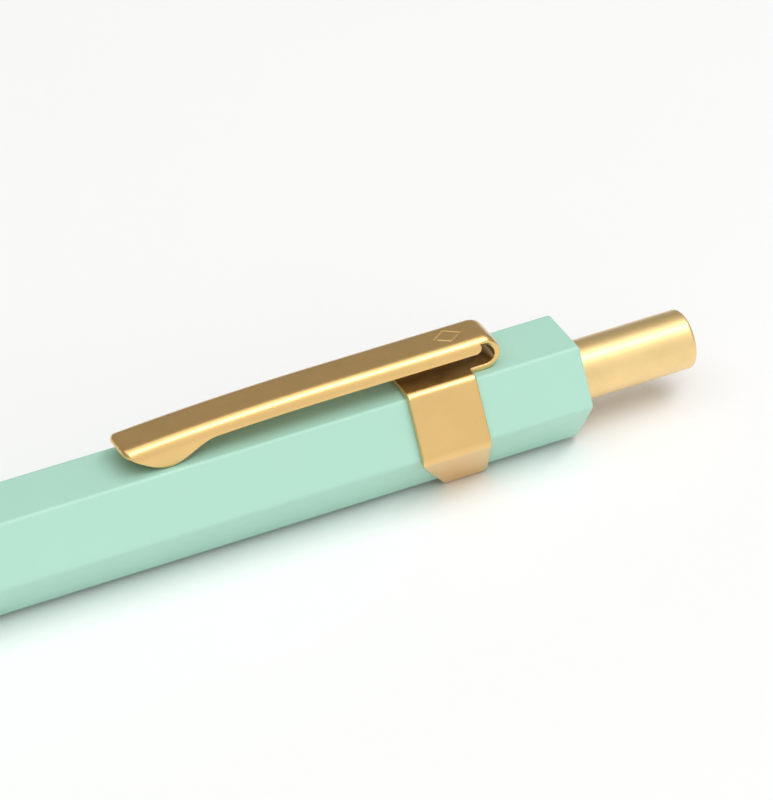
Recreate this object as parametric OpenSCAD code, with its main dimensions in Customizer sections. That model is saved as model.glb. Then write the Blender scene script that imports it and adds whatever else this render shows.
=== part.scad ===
// Hexagonal click gel pen, in millimetres.
// The pen lies along X: push button toward +X, writing tip toward -X, clip on top (+Z).
// Origin: middle of the overall length, on the plane that the clip's two lips stand on.
// Depths are measured from the barrel's rear end toward the tip, reaches from the ball
// toward the rear, and mouth distances from the nose's opening toward the rear.

/* [Barrel] */
// Thinnest wall, at the flats over the front socket
barrel_wall = 0.63; // [0.5:0.01:2]
// Radius of the six long edges
edge_r = 0.4; // [0.1:0.05:0.7]
// Bevel of the rear rim
rim_bevel = 0.3; // [0.1:0.05:0.5]
// Length of the turned chamfer that meets the nose cone
front_chamfer = 1.5; // [0.5:0.1:3]

/* [Refill] */
// Length of the refill, ball to plug
refill_len = 98.2; // [80:0.1:120]
// Outer diameter of the ink tube
refill_d = 6.1; // [5:0.05:7.5]
// Wall of the ink tube
tube_wall = 0.75; // [0.4:0.05:1]
// Radial play of the tube in the barrel
refill_play = 0.2; // [0.1:0.05:0.4]
// Writing ball
ball_d = 0.7; // [0.5:0.1:1]
// Shank of the metal point
point_d = 2.3; // [2:0.05:2.6]
// Length of the metal point ahead of its holder
point_len = 6.2; // [5:0.1:8]
// Front spigot of the point holder
spigot_d = 3; // [2.7:0.05:3.2]
// Reach of the shoulder that the spring pushes on
shoulder_reach = 11; // [10:0.1:12]
// Diameter of that shoulder
shoulder_d = 5; // [4.6:0.05:5.2]
// Length of the cone from the shoulder to the full tube
holder_cone = 3; // [2:0.1:4]
// Length of ink in a full tube
ink_len = 60; // [20:1:60]
// Length of the grease follower behind the ink
follower_len = 6; // [3:0.5:8]

/* [Nose cone] */
// Length of the nose cone ahead of the barrel
nose_len = 14; // [13:0.1:18]
// Diameter of the opening's rim
mouth_rim_d = 3.5; // [3.3:0.1:4]
// Length of the tight bore at the mouth
mouth_len = 1.2; // [0.8:0.1:1.4]
// Mouth distance of the spring's seat
seat_dist = 4.2; // [4:0.1:5]
// Threaded neck inside the barrel
neck_len = 5; // [3:0.1:8]
// Wall of the neck
neck_wall = 0.4; // [0.3:0.05:0.8]
// Section of the seal ring behind the nose cone
seal_w = 0.3; // [0.2:0.05:0.4]

/* [Click mechanism] */
// Distance that the point stays inside the mouth when retracted
tip_recess = 2; // [1.5:0.1:2.5]
// Travel at which the click latches
click_travel = 4.5; // [4:0.1:5]
// Extra travel that lets the rotor index
over_travel = 1.2; // [1:0.1:1.5]
// Diameter of the push button
button_d = 4.85; // [4:0.05:5]
// How far the button stands out of the barrel
button_out = 10.58; // [8:0.01:14]
// Wall of the button's drawn cap
cap_wall = 0.35; // [0.25:0.05:0.5]
// Length of the rear collar
collar_len = 3.6; // [2.5:0.1:6]
// Wall of the cam sleeve outside its grooves
sleeve_wall = 0.42; // [0.3:0.02:0.5]
// Height of the sleeve's guide ribs
guide_h = 0.65; // [0.5:0.05:0.8]
// Width of the grooves between the guide ribs
groove_w = 1.3; // [1:0.1:1.5]
// Length of the plunger's cam keys
plunger_key_len = 3.6; // [3:0.1:5]
// Length of the rotor's cam keys
rotor_key_len = 2.5; // [2:0.1:3]

/* [Springs] */
// Wire of the return spring
spring_wire = 0.35; // [0.25:0.05:0.4]
// Mean diameter of the return spring
spring_mean_d = 3.8; // [3.7:0.05:3.9]
// Turns of the return spring
spring_turns = 6.5; // [5:0.5:8]
// Turns of the small spring behind the writing ball
ball_spring_turns = 9; // [6:1:12]

/* [Clip] */
// Sheet thickness
clip_t = 0.5; // [0.3:0.05:0.7]
// Distance from the barrel's rear end to the band
band_back = 9.2; // [7:0.1:14]
// Width of the band
band_w = 5.85; // [4:0.05:8]
// How far the side tabs flare toward the rear
tab_flare = 0.65; // [0:0.05:1]
// Width of the lips under the barrel
lip_w = 2.8; // [2:0.1:4]
// Open gap between the two lips
lip_gap = 2.5; // [1.5:0.1:3.2]
// Outer radius of the fold
fold_r = 1.4; // [1.2:0.05:2.2]
// How far the fold stands behind the band
fold_back = 2.65; // [2.2:0.05:4]
// Width of the strip at the fold
fold_w = 3.55; // [2.5:0.05:3.8]
// Width of the arm
arm_w = 4; // [3.6:0.1:4.6]
// Length of the arm from the fold's axis to its tip
arm_len = 30.35; // [24:0.05:40]
// Length of the straight stretch of the arm
arm_straight = 13; // [8:0.5:18]
// Height that the arm's tip falls
arm_fall = 0.67; // [0.2:0.01:0.8]
// Depth of the arm's side flanges
flange_h = 1.02; // [0.8:0.02:1.4]
// Radius of the lobes that press on the barrel
lobe_r = 4; // [3:0.1:6]
// Distance from the arm's tip to the middle of the lobes
lobe_back = 3.3; // [3:0.1:5]
// Gap cut at the fold, where the arm flexes
fold_cut = 0.13; // [0.12:0.01:0.3]

/* [Hidden] */
$fn = 64;

// fits and clearances
run_gap = 0.1;      // between sliding faces
bore_gap = 0.075;   // push button in its collar, radial
thread_gap = 0.07;  // nose thread, drawn plain, radial
press_gap = 0.02;   // pieces that are pressed together
touch_gap = 0.05;   // faces that rest on each other but belong to different pieces
cut = 0.01;         // overshoot of a cutting solid

// radii, from the refill outward
tube_r = refill_d / 2;
tube_bore_r = tube_r - tube_wall;
main_bore_r = tube_r + refill_play;
neck_bore_r = tube_r + run_gap;
neck_r = neck_bore_r + neck_wall;
socket_r = neck_r + thread_gap;
sleeve_seat = 0.2;
rear_bore_r = main_bore_r + sleeve_seat;
sleeve_r = rear_bore_r - press_gap;
groove_r = sleeve_r - sleeve_wall;
guide_r = groove_r - guide_h;
key_r = groove_r - run_gap;
key_w = groove_w - 2 * run_gap;
cam_r = guide_r - run_gap;
flat_r = max(socket_r, rear_bore_r) + barrel_wall;
seal_r = socket_r + seal_w;
nose_step = 0.1;
nose_r = flat_r - nose_step;
front_land = 0.05;

// stations of the click mechanism, as depths
full_travel = click_travel + over_travel;
collar_recess = 0.2;
stop_len = 0.5;
latch_h = 0.9;      // slope of the notches that the rotor's keys latch in
latch_land = 0.5;
refill_lead = 0.3;  // from the sleeve's front to the refill
collar_front = collar_recess + collar_len;
stop_rear = collar_front + run_gap;
stop_front = stop_rear + stop_len;
guide_rear = stop_front + full_travel + 2 * run_gap;
plunger_front = guide_rear + run_gap + plunger_key_len;
rotor_rear = plunger_front + run_gap;
guide_front = rotor_rear + click_travel + latch_h;
sleeve_front = guide_front + latch_land;
refill_rear = sleeve_front + refill_lead;
rotor_front = refill_rear - touch_gap;

// lengths along the pen
barrel_len = refill_rear + refill_len + tip_recess - nose_len;
total_len = button_out + barrel_len + nose_len;
rear_x = total_len / 2 - button_out;
rest_h = flat_r + clip_t;
ball_x = -refill_rear - refill_len;
mouth_x = ball_x - tip_recess;

// clip, in the pen's own axes
fold_x = -(band_back - fold_back + fold_r);
fold_z = flat_r + fold_r;
arm_top = flat_r + 2 * fold_r;
bow_r = pow(arm_len - arm_straight, 2) / (2 * arm_fall);  // of the arm's last stretch
lobe_z = flat_r + touch_gap + lobe_r;
band_corner = (flat_r + clip_t) * 2 / sqrt(3);

arm_lead = 0.35;        // from the fold's axis to the start of the arm's channel
tip_corner = 1;         // plan radius of the tip's corners
lobe_blend = 0.5;       // softness of the curve from a flange into a lobe
tab_drop = 4.6;         // down the side face, where a tab is flared most
lip_drop = 5.3;         // down the side face, where the lip starts
lip_step = 0.2;         // lip's rear edge, ahead of the band's
front_drop = 0.3;       // down the side face, where a tab's front edge starts to slant
tab_reach = 8;          // past the lip's end, for the outline that cuts a tab
stamp_back = 2.3;       // from the fold's axis to the lozenge
stamp_depth = 0.06;
stamp_len = 2.2;
stamp_w = 1.5;

// refill and point
holder_end = shoulder_reach + holder_cone;
plug_flange = 1.2;
plug_len = 5;
vent_r = 0.5;
fill_r = tube_bore_r - press_gap;
spigot_in_tube = 4;
point_tail_r = 0.9;
point_tail_len = 3;
point_bore_r = 0.5;
point_taper = 2.4;
socket_end = 0.2;
socket_rim = 0.07;      // wall of the point's rim round the ball
feed_gap = 0.1;         // holder's ink way, wider than the point's
ball_wire_r = 0.06;
ball_spring_r = point_bore_r - ball_wire_r - 0.08;

// inside of the nose cone
nose_fullness = 1.6;    // 1 is a plain cone, and more bulges it
nose_steps = 10;
spring_side_gap = 0.225;
spigot_gap = 0.15;
bore_lead = 1.3;        // the cone in the bore ends this far behind the pressed refill's

// cams and their teeth
core_wall = 0.6;
core_r = button_d / 2 - cap_wall - press_gap;
stub_r = core_r - core_wall;
stub_len = 5;
cap_end = 0.5;
shaft_step = 0.2;
tooth_h = 0.45;
key_setback = tooth_h + 0.15;
key_trim = 0.06;        // keys' corners stay inside the grooves
rib_trim = 0.015;       // grooves stop just inside the wider bore
notch_trim = 0.09;
cam_lead = 0.3;
pilot_r = 1.2;
pilot_depth = 3;
pilot_len = 2.5;
pilot_root = 0.5;
cup_r = 1;
vertex_fn = 6;

// ---- placing ----

module pen() translate([rear_x, 0, rest_h]) children();

// local +Z runs from the barrel's rear end toward the tip, local +X is up
module from_rear(depth) translate([-depth, 0, 0]) rotate([0, -90, 0]) children();

// local +Z runs from the ball toward the rear
module from_ball(reach) translate([ball_x + reach, 0, 0]) rotate([0, 90, 0]) children();

// local +Z runs from the nose's opening toward the rear
module from_mouth(dist) translate([mouth_x + dist, 0, 0]) rotate([0, 90, 0]) children();

module turned(outline) rotate_extrude() polygon(outline);

// ---- shared shapes ----

// hexagon with rounded corners, two flats facing local +X and -X
module hex_outline(flat, corner) {
    reach = (flat - corner) * 2 / sqrt(3);
    hull()
        for (i = [0:5])
            rotate(90 + 60 * i) translate([reach, 0]) circle(corner, $fn = 32);
}

module hex_sharp(flat) rotate(90) circle(flat * 2 / sqrt(3), $fn = vertex_fn);

// round wire wound along local +Z, between 0 and length
function wire_ring(mean_r, wire_r, turn, z, sides) = [
    for (k = [0:sides - 1])
        let (a = 360 * k / sides, r = mean_r + wire_r * cos(a))
            [r * cos(360 * turn), r * sin(360 * turn), z + wire_r * sin(a)]];

module coil(mean_r, wire_r, length, turns, steps, sides) {
    rings = round(turns * steps);
    span = length - 2 * wire_r;
    points = [
        for (i = [0:rings])
            each wire_ring(mean_r, wire_r, turns * i / rings, wire_r + span * i / rings, sides)];
    walls = [
        for (i = [0:rings - 1], k = [0:sides - 1])
            let (a = i * sides + k, b = i * sides + (k + 1) % sides)
                each [[a, b, a + sides], [b, b + sides, a + sides]]];
    first = [for (k = [1:sides - 2]) [0, k + 1, k]];
    last = [for (k = [1:sides - 2]) [rings * sides, rings * sides + k, rings * sides + k + 1]];
    polyhedron(points, concat(walls, first, last));
}

// four keys around a cam, each with one end sloped like a ratchet tooth
module cam_keys(rear, length, slope) {
    for (i = [0:3])
        rotate([0, 0, 45 + 90 * i])
            rotate([90, 0, 90])
                linear_extrude(key_r - key_trim)
                    polygon([[-key_w / 2, rear], [key_w / 2, rear + slope],
                        [key_w / 2, rear + length], [-key_w / 2, rear + length]]);
}

// four bars across the axis, square on edge: the ridges and grooves of the face teeth
module tooth_bars(depth) {
    bar = tooth_h * sqrt(2);
    for (i = [0:3])
        translate([0, 0, depth]) rotate([0, 0, 45 * i]) rotate([45, 0, 0])
            cube([4 * cam_r, bar, bar], center = true);
}

// ---- body ----

module barrel() color("#b4e2cd") pen() from_rear(0) difference() {
    linear_extrude(barrel_len) hex_outline(flat_r, edge_r);
    for (i = [0:5])
        rotate([90, 0, 60 * i]) linear_extrude(4 * flat_r, center = true)
            polygon([[flat_r - rim_bevel, 0], [flat_r - rim_bevel, -1], [flat_r + 1, -1],
                [flat_r + 1, rim_bevel + 1], [flat_r, rim_bevel]]);
    translate([0, 0, -cut]) cylinder(r = rear_bore_r, h = sleeve_front + cut);
    cylinder(r = main_bore_r, h = barrel_len + cut);
    translate([0, 0, barrel_len - neck_len - run_gap])
        cylinder(r = socket_r, h = neck_len + run_gap + cut);
    translate([0, 0, barrel_len - seal_w - touch_gap])
        cylinder(r = seal_r, h = seal_w + touch_gap + cut);
    turned([[flat_r + front_land, barrel_len + cut],
        [flat_r + front_land + front_chamfer * tan(30), barrel_len - front_chamfer],
        [2 * flat_r, barrel_len - front_chamfer], [2 * flat_r, barrel_len + cut]]);
}

// outer radius of the nose cone at a mouth distance
function nose_outer(d) = nose_r - (nose_r - mouth_rim_d / 2) * pow(1 - d / nose_len, nose_fullness);

module nose_cone() color("#dcb878") pen() from_mouth(0) {
    spring_bore_r = (spring_mean_d + spring_wire) / 2 + spring_side_gap;
    full_bore = tip_recess + holder_end - full_travel - bore_lead;
    relief_r = spigot_d / 2 + spigot_gap;
    turned(concat(
        [[point_d / 2 + run_gap, 0]],
        [for (i = [0:nose_steps])
            let (d = nose_len * i / nose_steps) [nose_outer(d), d]],
        [[neck_r, nose_len], [neck_r, nose_len + neck_len], [neck_bore_r, nose_len + neck_len],
            [neck_bore_r, full_bore], [spring_bore_r, seat_dist], [relief_r, seat_dist],
            [relief_r, mouth_len], [point_d / 2 + run_gap, mouth_len]]));
}

module seal_ring() color("#2a2a2a") pen() from_mouth(nose_len)
    turned([[neck_r + touch_gap, 0], [seal_r - touch_gap, 0],
        [seal_r - touch_gap, seal_w], [neck_r + touch_gap, seal_w]]);

module return_spring() color("#c8ccd0") pen() from_mouth(seat_dist + press_gap)
    coil(spring_mean_d / 2, spring_wire / 2,
        tip_recess + shoulder_reach - seat_dist - 2 * press_gap, spring_turns, 24, 8);

// ---- refill ----

module refill_tube() color([0.92, 0.95, 0.94, 0.5]) pen() from_ball(holder_end) difference() {
    tube_len = refill_len - holder_end - plug_flange;
    cylinder(r = tube_r, h = tube_len);
    translate([0, 0, -cut]) cylinder(r = tube_bore_r, h = tube_len + 2 * cut);
}

module gel_ink() color("#20242c") pen() from_ball(holder_end + spigot_in_tube + touch_gap)
    cylinder(r = fill_r, h = ink_len);

module grease_follower() color("#e6dfb8") pen()
    from_ball(holder_end + spigot_in_tube + ink_len + 2 * touch_gap)
        cylinder(r = fill_r, h = follower_len);

module refill_plug() color("#f2f2ee") pen() from_ball(refill_len - plug_flange - plug_len) difference() {
    union() {
        cylinder(r = fill_r, h = plug_len + cut);
        translate([0, 0, plug_len]) cylinder(r = tube_r, h = plug_flange);
    }
    translate([0, 0, -cut]) cylinder(r = vent_r, h = plug_len + plug_flange + 2 * cut);
}

module point_holder() color("#e9ecec") pen() from_ball(0) {
    tail_end = point_len + point_tail_len + touch_gap;
    turned([[point_tail_r + press_gap, point_len], [spigot_d / 2, point_len],
        [spigot_d / 2, shoulder_reach], [shoulder_d / 2, shoulder_reach], [tube_r, holder_end],
        [fill_r, holder_end], [fill_r, holder_end + spigot_in_tube],
        [point_bore_r + feed_gap, holder_end + spigot_in_tube], [point_bore_r + feed_gap, tail_end],
        [point_tail_r + press_gap, tail_end]]);
}

module metal_point() color("#c9c6bd") pen() from_ball(0) difference() {
    turned([[0, socket_end], [ball_d / 2 + socket_rim, socket_end], [point_d / 2, point_taper],
        [point_d / 2, point_len - touch_gap], [point_tail_r, point_len - touch_gap],
        [point_tail_r, point_len + point_tail_len], [0, point_len + point_tail_len]]);
    translate([0, 0, ball_d / 2]) sphere(r = ball_d / 2 + press_gap);
    cylinder(r = ball_d / 3, h = point_len);
    translate([0, 0, point_taper]) cylinder(r = point_bore_r, h = point_len + point_tail_len);
}

module writing_ball() color("#8c9096") pen() from_ball(ball_d / 2) sphere(r = ball_d / 2);

module ball_spring() color("#b9bdc2") pen() from_ball(point_taper + press_gap)
    coil(ball_spring_r, ball_wire_r, point_len + point_tail_len - point_taper - 2 * press_gap,
        ball_spring_turns, 12, 6);

// ---- click mechanism ----

module rear_collar() color("#d9b779") pen() from_rear(collar_recess) difference() {
    cylinder(r = rear_bore_r - press_gap, h = collar_len);
    translate([0, 0, -cut]) cylinder(r = button_d / 2 + bore_gap, h = collar_len + 2 * cut);
}

module cam_sleeve() color("#e8e6df") pen() from_rear(0) difference() {
    translate([0, 0, collar_front]) cylinder(r = sleeve_r, h = sleeve_front - collar_front);
    translate([0, 0, collar_front - cut]) cylinder(r = groove_r, h = guide_rear - collar_front + cut);
    translate([0, 0, guide_rear - cut]) cylinder(r = guide_r, h = sleeve_front);
    translate([0, 0, guide_front]) cylinder(r = groove_r, h = sleeve_front);
    for (i = [0:3])
        rotate([0, 0, 45 + 90 * i]) translate([0, -groove_w / 2, guide_rear - cut])
            cube([groove_r - rib_trim, groove_w, sleeve_front]);
    // the notch that a rotor key latches in, one to a rib
    for (i = [0:3])
        rotate([0, 0, 90 * i]) rotate([90, 0, 90])
            linear_extrude(groove_r - notch_trim)
                polygon([[-key_w / 2, guide_front - latch_h], [key_w / 2, guide_front],
                    [key_w / 2, guide_front + cut], [-key_w / 2, guide_front + cut]]);
}

module plunger_cam() color("#3c4146") pen() from_rear(0) difference() {
    union() {
        translate([0, 0, stop_rear - stub_len]) cylinder(r = stub_r, h = stub_len + cut);
        translate([0, 0, stop_rear]) cylinder(r = key_r, h = stop_front - stop_rear);
        translate([0, 0, stop_rear]) cylinder(r = cam_r - shaft_step, h = plunger_front - stop_rear);
        translate([0, 0, plunger_front - plunger_key_len - cam_lead])
            cylinder(r = cam_r, h = plunger_key_len + cam_lead);
        cam_keys(plunger_front - plunger_key_len, plunger_key_len - key_setback, 0);
    }
    translate([0, 0, plunger_front - pilot_depth]) cylinder(r = pilot_r, h = pilot_depth + 1);
    tooth_bars(plunger_front);
}

module rotor_cam() color("#d9534a") pen() from_rear(0) {
    difference() {
        union() {
            translate([0, 0, rotor_rear]) cylinder(r = cam_r, h = rotor_front - rotor_rear);
            cam_keys(rotor_rear, rotor_key_len, latch_h);
        }
        translate([0, 0, rotor_front - pilot_depth]) cylinder(r = cup_r, h = pilot_depth + 1);
    }
    translate([0, 0, rotor_rear - pilot_len])
        cylinder(r = pilot_r - run_gap, h = pilot_len + pilot_root);
    intersection() {
        tooth_bars(rotor_rear);
        translate([0, 0, rotor_rear - 2 * tooth_h]) difference() {
            cylinder(r = cam_r, h = 2 * tooth_h + cut);
            translate([0, 0, -cut]) cylinder(r = pilot_r - run_gap - cut, h = 3 * tooth_h);
        }
    }
}

module push_button() color("#e0bc7a") pen() from_rear(-button_out) difference() {
    cap_len = button_out + stop_rear - touch_gap;
    cylinder(r = button_d / 2, h = cap_len);
    translate([0, 0, cap_end]) cylinder(r = button_d / 2 - cap_wall, h = cap_len);
}

module button_core() color("#f4f3ee") pen() from_rear(cap_end + touch_gap - button_out) difference() {
    core_len = button_out - cap_end + stop_rear - 2 * touch_gap;
    cylinder(r = core_r, h = core_len);
    translate([0, 0, core_len - stub_len - run_gap])
        cylinder(r = stub_r + press_gap, h = stub_len + 1);
}

// ---- clip ----

// C-shaped section of the band; the lips end either side of the gap
module band_section() difference() {
    hex_outline(flat_r + clip_t, edge_r + clip_t);
    hex_sharp(flat_r);
    translate([-2 * flat_r, -lip_gap / 2]) square([2 * flat_r, lip_gap]);
}

// outline of one side tab: X along the pen, Y down the lower side face from its corner
module tab_outline() {
    front = -(band_back + band_w);
    lip_rear = -(band_back - lip_step);
    polygon([[-band_back, -1], [-band_back, 0], [-(band_back - tab_flare), tab_drop],
        [lip_rear, lip_drop], [lip_rear, tab_reach], [lip_rear - lip_w, tab_reach],
        [lip_rear - lip_w, lip_drop], [front, front_drop], [front, -1]]);
}

module band_lower() {
    for (side = [0, 1])
        mirror([0, side, 0]) intersection() {
            from_rear(band_back - tab_flare) linear_extrude(band_w + tab_flare)
                intersection() {
                    band_section();
                    translate([-2 * flat_r, -2 * flat_r]) square(2 * flat_r);
                }
            translate([0, -band_corner, 0]) rotate([-60, 0, 0])
                translate([0, 0, -flat_r / 2]) linear_extrude(flat_r) tab_outline();
        }
}

module fold_ring() translate([fold_x, 0, fold_z]) rotate([90, 0, 0]) difference() {
    cylinder(r = fold_r, h = fold_w, center = true);
    cylinder(r = fold_r - clip_t, h = 2 * fold_w, center = true);
}

module clip_band() color("#e3c07f") pen() {
    from_rear(band_back) linear_extrude(band_w) intersection() {
        band_section();
        translate([-cut, -2 * flat_r]) square(4 * flat_r);
    }
    band_lower();
    translate([-band_back - cut, -fold_w / 2, flat_r])
        cube([fold_x + band_back + cut, fold_w, clip_t]);
    intersection() {
        fold_ring();
        translate([fold_x, -fold_w, fold_z - 2 * fold_r])
            cube([2 * fold_r, 2 * fold_w, 2 * fold_r]);
    }
}

// heights of the arm's top and of its flanges' lower edge, by distance from the fold's axis
function top_at(a) = arm_top - pow(max(0, a - arm_straight), 2) / (2 * bow_r);
function lobe_at(a) = lobe_z - sqrt(max(0, pow(lobe_r, 2) - pow(a - (arm_len - lobe_back), 2)));
function soft_min(p, q, k) = min(p, q) - pow(max(k - abs(p - q), 0), 2) / (4 * k);
function low_at(a) = soft_min(arm_top - flange_h, lobe_at(a), lobe_blend);

module arm_side(start, end, sunk) {
    steps = 60;
    station = [for (i = [0:steps]) start + (end - start) * i / steps];
    polygon(concat([for (a = station) [fold_x - a, top_at(a) - sunk]],
        [for (i = [steps:-1:0]) [fold_x - station[i], low_at(station[i]) - sunk]]));
}

module clip_arm() color("#c9a263") pen() {
    difference() {
        intersection() {
            rotate([90, 0, 0]) linear_extrude(arm_w, center = true)
                arm_side(arm_lead, arm_len, 0);
            linear_extrude(2 * arm_top) hull() {
                translate([fold_x - arm_straight, -arm_w / 2]) square([arm_straight, arm_w]);
                for (side = [-1, 1])
                    translate([fold_x - arm_len + tip_corner, side * (arm_w / 2 - tip_corner)])
                        circle(tip_corner, $fn = 32);
            }
        }
        rotate([90, 0, 0]) linear_extrude(arm_w - 2 * clip_t, center = true)
            arm_side(0, arm_len - clip_t, clip_t);
        // a plain lozenge stamped in the arm near the fold
        translate([fold_x - stamp_back, 0, arm_top - stamp_depth]) linear_extrude(1)
            polygon([[-stamp_len / 2, 0], [0, -stamp_w / 2], [stamp_len / 2, 0], [0, stamp_w / 2]]);
    }
    translate([fold_x - arm_lead - cut, -fold_w / 2, arm_top - clip_t])
        cube([arm_lead + cut, fold_w, clip_t]);
    intersection() {
        fold_ring();
        translate([fold_x, -fold_w, fold_z + fold_cut])
            cube([2 * fold_r, 2 * fold_w, 2 * fold_r]);
    }
}

barrel();
nose_cone();
seal_ring();
return_spring();
refill_tube();
gel_ink();
grease_follower();
refill_plug();
point_holder();
metal_point();
writing_ball();
ball_spring();
rotor_cam();
plunger_cam();
cam_sleeve();
rear_collar();
push_button();
button_core();
clip_band();
clip_arm();
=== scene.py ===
"""Looks of the hexagonal click gel pen, laid out as an add-on and run as a script.

Lengths in the code are millimetres in the pen's own axes: x from the barrel's rear end
(positive toward the button), y across, z up from the barrel's axis. to_row() turns them
into metres in the row frame.
"""

import math

import bmesh
import bpy
import numpy as np
from mathutils import Matrix, Vector


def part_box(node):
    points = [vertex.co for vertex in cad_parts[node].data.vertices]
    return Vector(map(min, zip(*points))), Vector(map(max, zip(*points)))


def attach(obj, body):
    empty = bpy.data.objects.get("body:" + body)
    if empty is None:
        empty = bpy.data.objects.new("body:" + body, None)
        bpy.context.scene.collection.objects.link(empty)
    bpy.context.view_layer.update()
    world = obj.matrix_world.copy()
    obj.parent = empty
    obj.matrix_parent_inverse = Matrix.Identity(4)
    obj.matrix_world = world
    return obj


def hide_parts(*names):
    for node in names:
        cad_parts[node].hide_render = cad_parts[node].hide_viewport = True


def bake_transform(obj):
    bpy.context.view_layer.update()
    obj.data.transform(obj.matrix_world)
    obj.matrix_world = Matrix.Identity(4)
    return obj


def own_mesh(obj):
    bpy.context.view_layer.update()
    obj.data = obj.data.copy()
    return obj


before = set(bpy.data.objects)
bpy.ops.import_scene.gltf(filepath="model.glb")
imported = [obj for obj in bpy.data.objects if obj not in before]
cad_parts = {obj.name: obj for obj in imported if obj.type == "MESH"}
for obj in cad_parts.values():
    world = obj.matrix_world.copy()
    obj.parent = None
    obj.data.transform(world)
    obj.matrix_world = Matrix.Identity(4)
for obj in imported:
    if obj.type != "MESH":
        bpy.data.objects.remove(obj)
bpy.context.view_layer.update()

bl_info = {
    "name": "Hexagonal gel pen",
    "version": (1, 0, 0),
    "blender": (4, 5, 0),
    "location": "View3D > Sidebar > Gel pen",
    "description": "Builds the finished pieces of a click gel pen around its packed model",
    "category": "Object",
}

MM = 0.001


def node_span(node, axis):
    """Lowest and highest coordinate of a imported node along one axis, in millimetres."""
    low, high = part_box(node)
    return low[axis] / MM, high[axis] / MM


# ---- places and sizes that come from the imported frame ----

BARREL_FRONT, REAR = node_span("barrel", 0)
BELOW, ABOVE = node_span("barrel", 2)
AXIS_Z = (BELOW + ABOVE) / 2
FLAT_R = (ABOVE - BELOW) / 2
BARREL_LEN = REAR - BARREL_FRONT


def depth(node, end):
    """Depth of a node's rear (0) or front (1) end from the barrel's rear end."""
    return REAR - node_span(node, 0)[1 - end]


def outer_r(node):
    """Outer radius of a turned node."""
    low, high = node_span(node, 1)
    return (high - low) / 2


BUTTON_R = outer_r("push_button")
BUTTON_END = depth("push_button", 0)
BUTTON_FRONT = depth("push_button", 1)
COLLAR_R = outer_r("rear_collar")
COLLAR_REAR = depth("rear_collar", 0)
COLLAR_FRONT = depth("rear_collar", 1)
SLEEVE_FRONT = depth("cam_sleeve", 1)
TUBE_R = outer_r("refill_tube")
TUBE_REAR = depth("refill_tube", 0)
TUBE_FRONT = depth("refill_tube", 1)
INK_R = outer_r("gel_ink")
PLUG_REAR = depth("refill_plug", 0)
PLUG_FRONT = depth("refill_plug", 1)
HOLDER_FRONT = depth("point_holder", 1)
HOLDER_REAR = depth("point_holder", 0)
POINT_FRONT = depth("metal_point", 1)
POINT_REAR = depth("metal_point", 0)
BALL_R = outer_r("writing_ball")
BALL_FRONT = depth("writing_ball", 1)
NOSE_MOUTH = depth("nose_cone", 1)
NECK_END = depth("nose_cone", 0)
SEAL_R = outer_r("seal_ring")
SEAL_W = depth("seal_ring", 1) - depth("seal_ring", 0)
SPRING_REAR = depth("return_spring", 0)
SPRING_FRONT = depth("return_spring", 1)
SPRING_R = outer_r("return_spring")
BALL_SPRING_REAR = depth("ball_spring", 0)
BALL_SPRING_FRONT = depth("ball_spring", 1)
BALL_SPRING_R = outer_r("ball_spring")
CORE_R = outer_r("button_core")
CORE_REAR = depth("button_core", 0)
CORE_FRONT = depth("button_core", 1)
BAND_FRONT = depth("clip_band", 1)
ARM_TIP = depth("clip_arm", 1)
ARM_W = 2 * outer_r("clip_arm")
ARM_TOP = node_span("clip_arm", 2)[1] - AXIS_Z
CLIP_T = BELOW - node_span("clip_band", 2)[0]

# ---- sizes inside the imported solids, which their boxes don't give ----

# barrel: long edges' round, and the bores from its front end to its rear end
EDGE_R = 0.4
SEAL_BORE_R = 3.92
SOCKET_R = 3.62
MAIN_BORE_R = 3.25
REAR_BORE_R = 3.45

# nose cone: threaded neck, the cone's bulge (1 is straight) and the mouth
NECK_R = 3.55
NECK_BORE_R = 3.15
NECK_LEN = 5.0
THREAD_PITCH = 1.0
THREAD_DEPTH = 0.14
NOSE_FULLNESS = 1.6
MOUTH_RIM_R = 1.75
MOUTH_GAP = 0.1

# refill: radii, and the spring's shoulder and the holder's taper, both measured back from the ball
TUBE_BORE_R = 2.3
POINT_R = 1.15
SPIGOT_R = 1.5
SHOULDER_R = 2.5
SHOULDER_REACH = 11.0
HOLDER_REACH = 14.0

# springs: the wires' radii
RETURN_WIRE_R = 0.175
BALL_WIRE_R = 0.06

# clip band: its rear edge's depth, then what the edges do down the lower side face. A drop is a
# distance down that face: the rear edge flares back by TAB_FLARE at TAB_DROP, both edges reach
# the lip at LIP_DROP, and the front edge starts to narrow at FRONT_DROP. The two softs round the
# corners of these outlines.
BAND_BACK = 9.2
TAB_FLARE = 0.85
TAB_DROP = 4.6
FRONT_DROP = 0.3
LIP_DROP = 5.3
LIP_STEP = 0.2
LIP_W = 2.8
LIP_GAP = 2.5
REAR_SOFT = 0.25
FRONT_SOFT = 0.35

# fold: outer radius, place of its axis and width
FOLD_R = 1.4
FOLD_X = -7.95
FOLD_W = 3.55

# arm: straight to ARM_STRAIGHT from the fold's axis, then bowed down by ARM_FALL at the tip
ARM_STRAIGHT = 13.0
ARM_FALL = 0.67
FLANGE_H = 1.02

# lobes: how far back from the tip they touch, their run behind that, and their rise at the tip
LOBE_BACK = 3.5
LOBE_REAR = 4.1
LOBE_FRONT_RISE = 1.55
LOBE_POWER = 1.8

# arm's tip: round of its corners in plan, radius of its rolled edge, the depth below the top at
# which that roll ends, and the length over which the rows follow the tip's outline
TIP_CORNER = 1.15
TIP_ROLL = 0.4
TIP_ROLL_FADE = 0.62
TIP_BLEND = 6.0
LEAST_ROLL = 1e-4

# running gap, the distance from a round at which a flat's shading is held, and the distance
# that keeps two faces out of one plane
TOUCH = 0.05
HOLD = 0.05
HAIR = 0.01


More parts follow.
